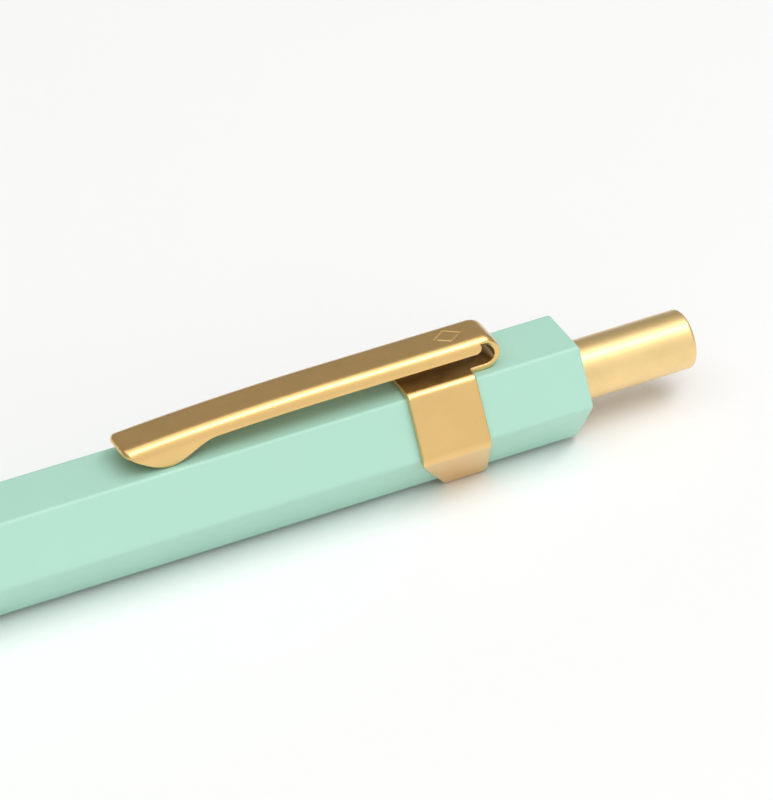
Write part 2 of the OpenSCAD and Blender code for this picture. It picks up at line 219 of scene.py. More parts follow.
def to_row(points):
    """Points in the pen's own millimetres as metres in the row frame."""
    p = np.array(points, float)
    return (p + np.array([REAR, 0.0, AXIS_Z])) * MM


# ---- properties ----


class PenSizes(bpy.types.PropertyGroup):
    """Sizes of the finish that a user would change."""

    rim_round: bpy.props.FloatProperty(
        name="Rim round", description="Rounding of the barrel's rear rim",
        unit="LENGTH", precision=5, default=0.32 * MM, min=0.05 * MM, max=0.38 * MM,
    )
    button_round: bpy.props.FloatProperty(
        name="Button round", description="Rounding of the button's end",
        unit="LENGTH", precision=5, default=0.3 * MM, min=0.05 * MM, max=0.6 * MM,
    )
    sheet_edge: bpy.props.FloatProperty(
        name="Sheet edge", description="Rounding of the clip's sheet edges",
        unit="LENGTH", precision=5, default=0.12 * MM, min=0.03 * MM, max=0.22 * MM,
    )
    arm_bend: bpy.props.FloatProperty(
        name="Arm bend", description="Outer radius of the bends along the clip's arm",
        unit="LENGTH", precision=5, default=1.1 * MM, min=0.7 * MM, max=1.3 * MM,
    )
    spring_turns: bpy.props.FloatProperty(
        name="Spring turns", description="Turns of the return spring", default=6.5, min=4.0, max=9.0,
    )
    ball_spring_turns: bpy.props.FloatProperty(
        name="Ball spring turns", description="Turns of the spring behind the ball",
        default=9.0, min=5.0, max=12.0,
    )


class PenColours(bpy.types.PropertyGroup):
    """Colours of the finish that a user would change."""

    lacquer: bpy.props.FloatVectorProperty(
        name="Lacquer", description="Mint lacquer of the barrel",
        subtype="COLOR", size=3, default=(0.41, 0.69, 0.565), min=0, max=1,
    )
    gold: bpy.props.FloatVectorProperty(
        name="Gold", description="Satin plate of the clip",
        subtype="COLOR", size=3, default=(0.84, 0.545, 0.19), min=0, max=1,
    )
    turned_gold: bpy.props.FloatVectorProperty(
        name="Turned gold", description="Brushed plate of the button and nose cone",
        subtype="COLOR", size=3, default=(0.92, 0.67, 0.30), min=0, max=1,
    )
    floor: bpy.props.FloatVectorProperty(
        name="Floor", description="Table under the pen",
        subtype="COLOR", size=3, default=(0.93, 0.93, 0.93), min=0, max=1,
    )


def sizes():
    return bpy.context.scene.pen_sizes


def in_mm(name):
    """A length property in millimetres, without its single-precision tail."""
    return round(getattr(sizes(), name) / MM, 6)


def colours():
    return bpy.context.scene.pen_colours


# ---- materials ----


class Nodes:
    """Short calls for building one material's node tree."""

    def __init__(self, name):
        self.material = bpy.data.materials.new(name)
        self.material.use_nodes = True
        self.tree = self.material.node_tree
        self.shader = self.tree.nodes["Principled BSDF"]
        self.coords = self.tree.nodes.new("ShaderNodeTexCoord").outputs["Object"]

    def link(self, source, target):
        self.tree.links.new(source, target)

    def node(self, kind, **settings):
        made = self.tree.nodes.new(kind)
        for key, value in settings.items():
            setattr(made, key, value)
        return made

    def set(self, **values):
        for key, value in values.items():
            self.shader.inputs[key.replace("_", " ")].default_value = value

    def stretched(self, scale):
        """Object coordinates, scaled apart along each axis."""
        mapping = self.node("ShaderNodeMapping")
        mapping.inputs["Scale"].default_value = scale
        self.link(self.coords, mapping.inputs["Vector"])
        return mapping.outputs["Vector"]

    def noise(self, scale, detail=3.0, roughness=0.5, stretch=None):
        noise = self.node("ShaderNodeTexNoise")
        noise.inputs["Scale"].default_value = scale
        noise.inputs["Detail"].default_value = detail
        noise.inputs["Roughness"].default_value = roughness
        self.link(self.stretched(stretch) if stretch else self.coords, noise.inputs["Vector"])
        return noise.outputs["Fac"]

    def spread(self, value, low, high):
        """A 0..1 pattern moved to low..high."""
        ranged = self.node("ShaderNodeMapRange")
        ranged.inputs["From Min"].default_value = 0.25
        ranged.inputs["From Max"].default_value = 0.75
        ranged.inputs["To Min"].default_value = low
        ranged.inputs["To Max"].default_value = high
        self.link(value, ranged.inputs["Value"])
        return ranged.outputs["Result"]

    def mixed(self, factor, first, second):
        """A colour mix: its inputs 0, 6 and 7 are the factor and both colours, output 2 the result."""
        mix = self.node("ShaderNodeMix", data_type="RGBA")
        if isinstance(factor, float):
            mix.inputs[0].default_value = factor
        else:
            self.link(factor, mix.inputs[0])
        for socket, value in ((mix.inputs[6], first), (mix.inputs[7], second)):
            if isinstance(value, bpy.types.NodeSocket):
                self.link(value, socket)
            else:
                socket.default_value = (*value, 1.0)
        return mix.outputs[2]

    def bump(self, height, distance, strength=1.0, below=None):
        bump = self.node("ShaderNodeBump")
        bump.inputs["Distance"].default_value = distance
        bump.inputs["Strength"].default_value = strength
        self.link(height, bump.inputs["Height"])
        if below is not None:
            self.link(below, bump.inputs["Normal"])
        return bump.outputs["Normal"]

    def painted_fold_shade(self, distance):
        """Painted shade: a mask from 0 deep in the piece's own folds, which are painted dark as shade, to 1
        in the open.
        """
        painted_shade_ao = self.node("ShaderNodeAmbientOcclusion", samples=8, only_local=True)
        painted_shade_ao.inputs["Distance"].default_value = distance
        ranged = self.node("ShaderNodeMapRange")
        ranged.inputs["From Min"].default_value = 0.15
        ranged.inputs["From Max"].default_value = 0.8
        self.link(painted_shade_ao.outputs["AO"], ranged.inputs["Value"])
        return ranged.outputs["Result"]

    def finish(self, colour=None, roughness=None, normal=None):
        for socket, value in (("Base Color", colour), ("Roughness", roughness), ("Normal", normal)):
            if value is not None:
                self.link(value, self.shader.inputs[socket])
        return self.material


def scaled(colour, share):
    return tuple(min(1.0, c * share) for c in colour)


def mint_lacquer():
    """Satin lacquer: a faint mottle in the colour and a fine orange peel."""
    n = Nodes("mint_lacquer")
    base = tuple(colours().lacquer)
    n.set(Specular_IOR_Level=0.5, Coat_Weight=0.15, Coat_Roughness=0.35, IOR=1.5)
    mottle = n.mixed(n.spread(n.noise(180.0), 0.0, 1.0), scaled(base, 0.985), scaled(base, 1.015))
    rough = n.spread(n.noise(900.0, 2.0), 0.36, 0.46)
    peel = n.bump(n.noise(2600.0, 2.0), 4e-6, 0.35)
    return n.finish(mottle, rough, peel)


def satin_gold():
    """Plated sheet, blasted to a fine even grain before plating."""
    n = Nodes("satin_gold")
    base = tuple(colours().gold)
    n.set(Metallic=1.0, Specular_IOR_Level=0.5, Coat_Weight=0.9, Coat_Roughness=0.12, Coat_IOR=1.6)
    tone = n.mixed(n.spread(n.noise(260.0), 0.0, 1.0), scaled(base, 0.96), scaled(base, 1.04))
    # painted shade: the base colour goes down to 4 % of the gold in the sheet's own folds, such as under the
    # arm, by ambient occlusion
    tone = n.mixed(n.painted_fold_shade(0.0025), scaled(base, 0.04), tone)
    rough = n.spread(n.noise(5200.0, 3.0), 0.27, 0.39)
    grain = n.bump(n.noise(9000.0, 3.0, 0.6), 5e-6, 0.5)
    return n.finish(tone, rough, grain)


def brushed_gold():
    """Plated turning, brushed along its length, with a fine round grain under it."""
    n = Nodes("brushed_gold")
    base = tuple(colours().turned_gold)
    n.set(Metallic=1.0, Specular_IOR_Level=0.5, Coat_Weight=0.8, Coat_Roughness=0.24, Coat_IOR=1.6)
    tone = n.mixed(n.spread(n.noise(400.0), 0.0, 1.0), scaled(base, 0.95), scaled(base, 1.05))
    rough = n.spread(n.noise(5000.0, 3.0), 0.38, 0.50)
    lines = n.noise(1500.0, 4.0, 0.65, stretch=(0.25, 3.0, 3.0))
    grain = n.noise(8000.0, 3.0, 0.6)
    brushed = n.bump(lines, 4e-6, 0.35)
    return n.finish(tone, rough, n.bump(grain, 5e-6, 0.5, brushed))


def drawn_steel():
    n = Nodes("drawn_steel")
    n.set(Metallic=1.0)
    tone = n.mixed(n.noise(900.0), (0.55, 0.56, 0.57), (0.70, 0.71, 0.72))
    rough = n.spread(n.noise(3000.0), 0.18, 0.32)
    return n.finish(tone, rough, n.bump(n.noise(4000.0), 2e-6, 0.4))


def turned_point():
    n = Nodes("turned_nickel_silver")
    n.set(Metallic=1.0)
    tone = n.mixed(n.noise(900.0), (0.58, 0.56, 0.51), (0.68, 0.66, 0.61))
    rough = n.spread(n.noise(2500.0), 0.16, 0.30)
    rings = n.noise(1200.0, 2.0, 0.5, stretch=(8.0, 0.2, 0.2))
    return n.finish(tone, rough, n.bump(rings, 3e-6, 0.5))


def polished_ball():
    n = Nodes("polished_carbide")
    n.set(Metallic=1.0)
    tone = n.mixed(n.noise(3000.0), (0.30, 0.31, 0.33), (0.36, 0.37, 0.39))
    return n.finish(tone, n.spread(n.noise(6000.0), 0.06, 0.14))


def moulded(name, base, low=0.4, high=0.55, subsurface=0.0):
    """Moulded plastic with a spark-eroded grain and slow colour drift."""
    n = Nodes(name)
    n.set(IOR=1.49)
    if subsurface:
        n.set(Subsurface_Weight=subsurface, Subsurface_Scale=0.0008)
    tone = n.mixed(n.noise(350.0), scaled(base, 0.96), scaled(base, 1.03))
    rough = n.spread(n.noise(3200.0), low, high)
    return n.finish(tone, rough, n.bump(n.noise(4200.0), 5e-6, 0.4))


def seal_rubber():
    n = Nodes("seal_rubber")
    tone = n.mixed(n.noise(1500.0), (0.012, 0.012, 0.012), (0.022, 0.022, 0.022))
    return n.finish(tone, n.spread(n.noise(4000.0), 0.6, 0.8), n.bump(n.noise(5000.0), 6e-6, 0.5))


def tube_plastic():
    """Translucent refill tube: smooth, slightly cloudy."""
    n = Nodes("clear_tube")
    n.set(Transmission_Weight=0.75, IOR=1.49)
    tone = n.mixed(n.noise(500.0), (0.86, 0.90, 0.89), (0.93, 0.95, 0.94))
    return n.finish(tone, n.spread(n.noise(2500.0), 0.12, 0.22))


def dark_gel():
    n = Nodes("dark_gel")
    n.set(IOR=1.36)
    tone = n.mixed(n.noise(400.0), (0.004, 0.005, 0.010), (0.009, 0.010, 0.018))
    return n.finish(tone, n.spread(n.noise(1800.0), 0.08, 0.18))


def pale_grease():
    n = Nodes("pale_grease")
    n.set(Transmission_Weight=0.35, IOR=1.45)
    tone = n.mixed(n.noise(700.0), (0.70, 0.62, 0.34), (0.80, 0.74, 0.46))
    return n.finish(tone, n.spread(n.noise(1800.0), 0.2, 0.35))


def table_white():
    n = Nodes("table_white")
    base = tuple(colours().floor)
    n.set(Specular_IOR_Level=0.2)
    tone = n.mixed(n.noise(12.0), scaled(base, 0.997), base)
    return n.finish(tone, n.spread(n.noise(60.0), 0.55, 0.65))


MAKERS = {
    "barrel": mint_lacquer,
    "gold_trim": satin_gold,
    "gold_turned": brushed_gold,
    "steel": drawn_steel,
    "point": turned_point,
    "ball": polished_ball,
    "rubber": seal_rubber,
    "clear_plastic": tube_plastic,
    "natural_plastic": lambda: moulded("natural_plastic", (0.80, 0.80, 0.74), subsurface=0.2),
    "dark_plastic": lambda: moulded("dark_plastic", (0.035, 0.042, 0.05)),
    "red_plastic": lambda: moulded("red_plastic", (0.55, 0.055, 0.04)),
    "ink": dark_gel,
    "grease": pale_grease,
    "floor": table_white,
}
made_materials = {}


def material(slot):
    if slot not in made_materials:
        made_materials[slot] = MAKERS[slot]()
    return made_materials[slot]


# ---- making meshes ----


def piece_from(name, points, faces, slot):
    """A smooth-shaded object from points in the pen's own millimetres."""
    mesh = bpy.data.meshes.new(name)
    mesh.from_pydata([tuple(p) for p in to_row(points)], [], faces)
    mesh.validate()
    obj = bpy.data.objects.new(name, mesh)
    bpy.context.scene.collection.objects.link(obj)
    mesh.materials.append(material(slot))
    mesh.polygons.foreach_set("use_smooth", [True] * len(mesh.polygons))
    mesh.update()
    return obj


def ride_as(obj, body, slot, *nodes):
    """Tells the frame a finished piece's body and the nodes it stands for; slot is not used."""
    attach(obj, body)
    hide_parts(*nodes)
    return obj


def weight_normals(obj):
    """Large faces keep their own normal, so that fillets don't shade them."""
    modifier = obj.modifiers.new("weights", "WEIGHTED_NORMAL")
    modifier.mode = "FACE_AREA"
    modifier.weight = 50
    modifier.keep_sharp = True
    return applied(obj)


def applied(obj):
    """Turns an object's modifiers into its plain mesh."""
    graph = bpy.context.evaluated_depsgraph_get()
    live = obj.evaluated_get(graph)
    mesh = bpy.data.meshes.new_from_object(live, preserve_all_data_layers=True, depsgraph=graph)
    mesh.name = obj.name
    obj.modifiers.clear()
    obj.data = mesh
    return obj


def ring_quads(first, second, count):
    """Quads between two closed rings of vertices that start at those indices."""
    return [
        (first + k, second + k, second + (k + 1) % count, first + (k + 1) % count)
        for k in range(count)
    ]


def loop_of_rings(rings):
    """Points and faces of a closed ring-shaped shell: each ring joins the next, the last the first."""
    count = len(rings[0])
    faces = []
    for i in range(len(rings)):
        faces += ring_quads(i * count, ((i + 1) % len(rings)) * count, count)
    return np.concatenate(rings), faces


def rounded(outline, fillets, closed=True, steps=5, hold=HOLD):
    """An outline of (depth, radius) corners with each corner rounded.

    Beside each round, a point hold away on the straight keeps the flat's shading flat.
    """
    made = []
    total = len(outline)
    for i, corner in enumerate(outline):
        r = fillets[i]
        here = np.array(corner, float)
        if r <= 0 or (not closed and i in (0, total - 1)):
            made.append(here)
            continue
        back = np.array(outline[i - 1], float) - here
        ahead = np.array(outline[(i + 1) % total], float) - here
        back_len, ahead_len = np.linalg.norm(back), np.linalg.norm(ahead)
        back, ahead = back / back_len, ahead / ahead_len
        half = math.acos(max(-1.0, min(1.0, float(back @ ahead)))) / 2
        run = r / math.tan(half)
        start, end = here + back * run, here + ahead * run
        middle = here + (back + ahead) / np.linalg.norm(back + ahead) * (r / math.sin(half))
        if run + 2 * hold < back_len / 2:
            made.append(start + back * hold)
        a, b = start - middle, end - middle
        sweep = math.pi - 2 * half
        for k in range(steps + 1):
            t = k / steps
            arc = math.sin((1 - t) * sweep) * a + math.sin(t * sweep) * b
            made.append(middle + arc / math.sin(sweep))
        if run + 2 * hold < ahead_len / 2:
            made.append(end + ahead * hold)
    return [tuple(p) for p in made]


def lathe(name, outline, slot, sides=96, radius_at=None):
    """Turns an outline of (depth, radius) points about the pen's axis.

    Points at radius 0 close the ends; an outline that starts off the axis is a closed ring.
    radius_at(depth, radius, angle) may change a radius, as a thread does.
    """
    nothing = 1e-6
    angles = [2 * math.pi * k / sides for k in range(sides)]
    on_axis = outline[0][1] < nothing
    points, faces, starts = [], [], []
    for d, r in outline:
        if r < nothing:
            starts.append((len(points), 1))
            points.append((-d, 0.0, 0.0))
            continue
        starts.append((len(points), sides))
        for a in angles:
            turned = radius_at(d, r, a) if radius_at else r
            points.append((-d, turned * math.cos(a), turned * math.sin(a)))
    pairs = list(zip(starts, starts[1:]))
    if not on_axis:
        pairs.append((starts[-1], starts[0]))
    for (a, na), (b, nb) in pairs:
        if na == nb == sides:
            faces += ring_quads(a, b, sides)
        elif na == 1 and nb == sides:
            faces += [(a, b + k, b + (k + 1) % sides) for k in range(sides)]
        elif nb == 1 and na == sides:
            faces += [(a + k, b, a + (k + 1) % sides) for k in range(sides)]
    obj = piece_from(name, points, faces, slot)
    face_outwards(obj)
    return weight_normals(obj)


def face_outwards(obj):
    """Recalculates a closed mesh's normals so that they point out of its solid."""
    bm = bmesh.new()
    bm.from_mesh(obj.data)
    bmesh.ops.remove_doubles(bm, verts=bm.verts, dist=1e-8)
    bmesh.ops.recalc_face_normals(bm, faces=bm.faces)
    if bm.calc_volume(signed=True) < 0:
        bmesh.ops.reverse_faces(bm, faces=bm.faces)
    bm.to_mesh(obj.data)
    bm.free()
    obj.data.update()


# ---- barrel ----

ARC_STEPS = 8
FLAT_STEPS = 8
RIM_STEPS = 7
LONG_SPANS = 24
LEAST_CORNER = 0.02
BORE_EDGE = 0.08
CONE_SLOPE = math.tan(math.radians(30))
CONE_LAND = 0.05
CONE_SHORTEST, CONE_LONGEST = 0.06, 2.0
CONE_HOLDS = (0.12, 0.04)
CONE_SHARES = (0.0, 0.15, 0.6, 1.0)
PLAIN_STOP = 2.5
FRONT_EDGE = 0.05
FRONT_INSET = 0.03


def hex_ring(flat, corner):
    """Points (y, z) round a hexagon with rounded corners, flats up and down."""
    reach = (flat - corner) * 2 / math.sqrt(3)
    half_flat = reach / 2
    ring = []
    for i in range(6):
        turn = math.radians(60 * i)
        centre = np.array([reach * math.cos(turn), reach * math.sin(turn)])
        for k in range(ARC_STEPS + 1):
            a = turn + math.radians(-30 + 60 * k / ARC_STEPS)
            ring.append(centre + corner * np.array([math.cos(a), math.sin(a)]))
        across = turn + math.radians(30)
        normal = np.array([math.cos(across), math.sin(across)])
        along = np.array([-normal[1], normal[0]])
        inner = half_flat - HOLD
        for k in range(FLAT_STEPS + 1):
            ring.append(normal * flat + along * (-inner + 2 * inner * k / FLAT_STEPS))
    return np.array(ring)


def at_depths(ring, depths):
    """A ring of (y, z) set at one depth, or at a depth for each point."""
    d = np.broadcast_to(np.asarray(depths, float), (len(ring),))
    return np.column_stack([-d, ring[:, 0], ring[:, 1]])


def barrel_rings():
    """Rings of the barrel's shell: out over the rear face and rim, along the flats, back in the bore."""
    rim = in_mm("rim_round")
    body = hex_ring(FLAT_R, EDGE_R)
    reach = np.linalg.norm(body, axis=1)
    directions = body / reach[:, None]

    def circle(r, d):
        return at_depths(directions * r, d)

    def hexagon(inset):
        return hex_ring(FLAT_R - inset, max(EDGE_R - inset, LEAST_CORNER))

    def cone(d):
        """How far out each line of points is where the turned cone at the front end cuts it."""
        return np.minimum(reach, FLAT_R + CONE_LAND + (BARREL_LEN - d) * CONE_SLOPE)

    rings = [
        circle(REAR_BORE_R, SLEEVE_FRONT),
        circle(REAR_BORE_R, COLLAR_FRONT),
        circle(REAR_BORE_R, BORE_EDGE),
        circle(REAR_BORE_R + BORE_EDGE, 0.0),
        at_depths(hexagon(rim) - directions * HOLD, 0.0),
    ]
    # rear rim
    for k in range(RIM_STEPS + 1):
        a = math.pi / 2 * k / RIM_STEPS
        rings.append(at_depths(hexagon(rim * (1 - math.sin(a))), rim * (1 - math.cos(a))))
    # the six long faces
    plain_len = BARREL_LEN - PLAIN_STOP - rim
    for k in range(LONG_SPANS + 1):
        rings.append(at_depths(body, rim + HOLD + plain_len * k / LONG_SPANS))
    # the cone that meets the nose: each line of points bends where the cone cuts it
    cut_at = BARREL_LEN - np.clip((reach - FLAT_R - CONE_LAND) / CONE_SLOPE, CONE_SHORTEST, CONE_LONGEST)
    for ahead in CONE_HOLDS:
        rings.append(at_depths(body, cut_at - ahead))
    for share in CONE_SHARES:
        d = cut_at + (BARREL_LEN - FRONT_EDGE - cut_at) * share
        rings.append(at_depths(directions * cone(d)[:, None], d))
    rings.append(circle(FLAT_R - FRONT_INSET, BARREL_LEN))
    # front recess for the seal, the nose's socket and the main bore
    seal_face = BARREL_LEN - SEAL_W - TOUCH
    socket_face = BARREL_LEN - NECK_LEN - 2 * TOUCH
    for r, d in (
        (SEAL_BORE_R, BARREL_LEN), (SEAL_BORE_R, seal_face), (SOCKET_R, seal_face),
        (SOCKET_R, socket_face), (MAIN_BORE_R, socket_face), (MAIN_BORE_R, SLEEVE_FRONT),
    ):
        rings.append(circle(r, d))
    return rings


# ---- clip: one sheet, followed on the side that lies against the barrel ----


def top_at(a):
    """Height of the arm's top face at a distance from the fold's axis."""
    bow = (ARM_TIP + FOLD_X - ARM_STRAIGHT) ** 2 / (2 * ARM_FALL)
    return ARM_TOP - max(0.0, a - ARM_STRAIGHT) ** 2 / (2 * bow)


def low_at(a):
    """Height of the flanges' lower edge, which dips into a lobe near the tip."""
    bottom = FLAT_R + TOUCH
    back = ARM_TIP + FOLD_X - a
    if back < LOBE_BACK:
        return bottom + LOBE_FRONT_RISE * (1 - max(0.0, back) / LOBE_BACK) ** LOBE_POWER
    edge = top_at(a) - FLANGE_H
    return bottom + (edge - bottom) * smooth_step((back - LOBE_BACK) / LOBE_REAR)


def smooth_step(t):
    t = min(1.0, max(0.0, t))
    return t * t * (3 - 2 * t)


def eased(values, first, last, count):
    """Adds count even values after first, up to last."""
    values.extend(first + (last - first) * k / count for k in range(1, count + 1))


def band_columns():
    """Stations round the half band: (y, z, drop) from the top's middle to the lip's end.

    drop is the distance down the lower side face from its upper corner, or below 0 above it.
    """
    corner = EDGE_R
    reach = (FLAT_R - corner) * 2 / math.sqrt(3)
    trim = corner * math.tan(math.radians(30))
    side = FLAT_R * 2 / math.sqrt(3)
    columns = []

    def along(degrees, start, end, count, drop_start, drop_end):
        normal = np.array([math.cos(math.radians(degrees)), math.sin(math.radians(degrees))])
        down = np.array([normal[1], -normal[0]])
        for k in range(1, count + 1):
            s = start + (end - start) * k / count
            p = normal * FLAT_R + down * s
            columns.append((*p, drop_start + (drop_end - drop_start) * k / count))

    def bend(at, count, drop_start, drop_end):
        centre = reach * np.array([math.cos(math.radians(at)), math.sin(math.radians(at))])
        for k in range(1, count + 1):
            a = math.radians(at + 30 - 60 * k / count)
            p = centre + corner * np.array([math.cos(a), math.sin(a)])
            columns.append((*p, drop_start + (drop_end - drop_start) * k / count))

    half = side / 2 - trim
    above = -1.0
    bend_steps = 10
    hold = 0.06
    along(90, FOLD_W / 2, half - hold, 3, above, above)
    along(90, half - hold, half, 1, above, above)
    bend(60, bend_steps, above, above)
    along(30, -half, -half + hold, 1, above, above)
    along(30, -half + hold, half - hold, 12, above, above)
    along(30, half - hold, half, 1, above, above)
    bend(0, bend_steps, above, trim)
    along(-30, -half, -half + hold, 1, trim, trim + hold)
    along(-30, -half + hold, half - hold, 14, trim + hold, side - trim - hold)
    along(-30, half - hold, half, 1, side - trim - hold, side - trim)
    bend(-60, bend_steps, side - trim, side + trim)
    lip_run = side / 2 - trim - LIP_GAP / 2 - in_mm("sheet_edge")
    along(-90, -half, -half + hold, 1, side + trim, side + trim + hold)
    along(-90, -half + hold, -half + lip_run, 5, side + trim + hold, side + trim + lip_run)
    return columns


def soft_between(points, x, soft):
    """Reads a broken line with its corners rounded over about 2 x soft."""
    xs, ys = zip(*points)
    samples = np.linspace(x - soft, x + soft, 9)
    return float(np.mean(np.interp(samples, xs, ys)))


# drops that lie above and below every station of the band
FAR_ABOVE, FAR_BELOW = -2.0, 8.0


def band_rear_x(drop):
    """Where the band's rear edge is: it flares down the lower side face, then steps in to the lip."""
    lip_rear = -(BAND_BACK - LIP_STEP)
    line = [(FAR_ABOVE, -BAND_BACK), (0.0, -BAND_BACK), (TAB_DROP, -(BAND_BACK - TAB_FLARE)),
            (LIP_DROP, lip_rear), (FAR_BELOW, lip_rear)]
    return soft_between(line, drop, REAR_SOFT)


def band_front_x(drop):
    """Where the band's front edge is: it narrows down the lower side face to the lip's width."""
    lip_front = -(BAND_BACK - LIP_STEP + LIP_W)
    line = [(FAR_ABOVE, -BAND_FRONT), (FRONT_DROP, -BAND_FRONT),
            (LIP_DROP, lip_front), (FAR_BELOW, lip_front)]
    return soft_between(line, drop, FRONT_SOFT)


STAMP_AT = 2.3
STAMP_LEN = 2.2
STAMP_W = 1.5
STAMP_DEPTH = 0.05
STAMP_LINE = 0.2


def stamp_drop(a, y):
    """Depth of the plain lozenge scribed in the arm near its fold."""
    edge = 1 - abs(a - STAMP_AT) / (STAMP_LEN / 2) - abs(y) / (STAMP_W / 2)
    return STAMP_DEPTH * (1 - smooth_step(abs(edge) / STAMP_LINE))


# where the fold's edges start to bend, as a share of its turn
BEND_START = 0.35
# distance ahead of the fold's axis at which the flanges start, and over which they reach full depth
FLANGE_START = 0.3
FLANGE_RUN = 0.5
# stretches of the arm from the fold's axis to the tip, each with its end and count of rows; an end
# that isn't above 0 is measured from the tip
ARM_STRETCHES = ((FLANGE_START, 4), (1.0, 10), (3.6, 52), (-8.4, 30), (-1.6, 34), (0.0, 24))
# places down a flange, as shares of its depth
FLANGE_SHARES = (0.1, 0.2, 0.3, 0.4, 0.5, 0.6, 0.7, 0.78, 0.86, 0.92, 0.97, 1.0)


def half_clip():
    """Grid of points over half the sheet (y >= 0) and its quads, by column from the middle out."""
    points, faces, index = [], [], {}

    def vertex(key, p):
        if key not in index:
            index[key] = len(points)
            points.append(p)
        return index[key]

    def quads(keys):
        for row, above in zip(keys, keys[1:]):
            for k in range(len(row) - 1):
                faces.append((row[k], row[k + 1], above[k + 1], above[k]))

    edge = in_mm("sheet_edge")
    bend_r = in_mm("arm_bend")
    half_arm = ARM_W / 2
    flat_half = half_arm - bend_r
    strip_half = FOLD_W / 2 - edge
    # columns over the fold's width: the arm's flat top, then the stretch that starts its bend
    middle = [0.0]
    eased(middle, 0.0, flat_half, 12)
    eased(middle, flat_half, strip_half, 7)
    count = len(middle)

    def across(s):
        """How far out and how far down the bent sheet is at s across it."""
        phi = (s - flat_half) / bend_r
        if phi <= 0:
            return s, 0.0
        if phi < math.pi / 2:
            return flat_half + bend_r * math.sin(phi), bend_r * (1 - math.cos(phi))
        return half_arm, bend_r + bend_r * (phi - math.pi / 2)

    def reach(down):
        """Distance across the sheet at which it is a depth below its top."""
        if down < bend_r:
            return flat_half + bend_r * math.acos(1 - down / bend_r)
        return flat_half + bend_r * math.pi / 2 + down - bend_r

    # band, from its front edge to its rear edge
    outer = band_columns()
    rows = 16
    front, rear = -BAND_FRONT + edge, -BAND_BACK - edge
    band = []
    for i in range(rows + 1):
        t = i / rows
        x = front + (rear - front) * t
        row = [vertex(("band", i, k), (x, y, FLAT_R)) for k, y in enumerate(middle)]
        for k, (y, z, drop) in enumerate(outer):
            x0, x1 = band_front_x(drop) + edge, band_rear_x(drop) - edge
            row.append(vertex(("band", i, count + k), (x0 + (x1 - x0) * t, y, z)))
        band.append(row)
    quads(band)

    # strip under the fold, then the fold, whose edges start to bend over its upper half
    strip = [band[-1][:count]]
    strip_rows = 4
    for i in range(1, strip_rows + 1):
        x = rear + (FOLD_X - rear) * i / strip_rows
        strip.append([vertex(("strip", i, k), (x, y, FLAT_R)) for k, y in enumerate(middle)])
    turns = 44
    for i in range(1, turns + 1):
        angle = math.pi * i / turns
        bent = smooth_step((i / turns - BEND_START) / (1 - BEND_START))
        row = []
        for k, s in enumerate(middle):
            y, down = across(s)
            r = FOLD_R - down * bent
            x = FOLD_X + r * math.sin(angle)
            z = FLAT_R + FOLD_R - r * math.cos(angle)
            row.append(vertex(("fold", i, k), (x, s + (y - s) * bent, z)))
        strip.append(row)

    # arm: stations run from the fold's axis to the tip
    arm_len = ARM_TIP + FOLD_X - edge
    stations = []
    start = 0.0
    for end, number in ARM_STRETCHES:
        end = end if end > 0 else arm_len + end
        eased(stations, start, end, number)
        start = end

    def flange_depth(a):
        """How far below the arm's top the sheet reaches at a station."""
        start = across(strip_half)[1]
        full = top_at(a) - low_at(a) - edge
        t = min(1.0, max(0.0, (a - FLANGE_START) / FLANGE_RUN))
        return start + (full - start) * math.sqrt(1 - (1 - t) ** 2)

    tip_reach = reach(flange_depth(arm_len))

    def end_back(s):
        """How far the tip's edge is back at s across the sheet: a round corner in plan."""
        y = across(min(s, tip_reach))[0]
        t = min(1.0, max(0.0, (y - half_arm + TIP_CORNER) / TIP_CORNER))
        return TIP_CORNER * (1 - math.sqrt(1 - t * t))

    def place(a, s):
        """Point at a station and a distance across the sheet."""
        y, down = across(s)
        roll = max(LEAST_ROLL, TIP_ROLL * (1 - smooth_step(down / TIP_ROLL_FADE)))
        end = arm_len - end_back(s) - roll + roll * math.pi / 2
        a *= 1 - (1 - end / arm_len) * smooth_step((a - arm_len + TIP_BLEND) / TIP_BLEND)
        theta = max(0.0, (a - end) / roll + math.pi / 2)
        if theta > 0:
            a = end - roll * math.pi / 2 + roll * math.sin(theta)
        z = top_at(a) - down - roll * (1 - math.cos(theta)) - stamp_drop(a, s)
        return (FOLD_X - a, y, z)

    arm = []
    flanges = []
    for i, a in enumerate(stations):
        row = [vertex(("arm", i, k), place(a, s)) for k, s in enumerate(middle)]
        arm.append(row)
        if a > FLANGE_START + 1e-9:
            last = reach(flange_depth(a))
            spots = [strip_half + (last - strip_half) * share for share in FLANGE_SHARES]
            side = [row[-1]] + [vertex(("flange", i, k), place(a, s)) for k, s in enumerate(spots)]
            flanges.append(side)
    quads(strip + arm)
    quads(flanges)
    return points, faces


def clip_sheet():
    """Both halves of the sheet, given their thickness and rounded edges."""
    points, faces = half_clip()
    bm = bmesh.new()
    for p in points:
        bm.verts.new(p)
    bm.verts.ensure_lookup_table()
    for f in faces:
        bm.faces.new([bm.verts[i] for i in f])
    mirrored = bmesh.ops.duplicate(bm, geom=bm.verts[:] + bm.edges[:] + bm.faces[:])["geom"]
    flipped = [g for g in mirrored if isinstance(g, bmesh.types.BMVert)]
    for v in flipped:
        v.co.y = -v.co.y
    bmesh.ops.reverse_faces(bm, faces=[g for g in mirrored if isinstance(g, bmesh.types.BMFace)])
    bmesh.ops.remove_doubles(bm, verts=bm.verts, dist=1e-5)
    bmesh.ops.recalc_face_normals(bm, faces=bm.faces)
    bm.verts.ensure_lookup_table()
    bm.verts.index_update()
    # on top of the band the normals must point up, away from the barrel
    band_top = Vector((-12.0, 0.3, FLAT_R))
    nearest = min(bm.faces, key=lambda f: (f.calc_center_median() - band_top).length)
    if nearest.normal.z < 0:
        bmesh.ops.reverse_faces(bm, faces=bm.faces)
    bm.normal_update()
    return thickened(bm, CLIP_T, in_mm("sheet_edge"))


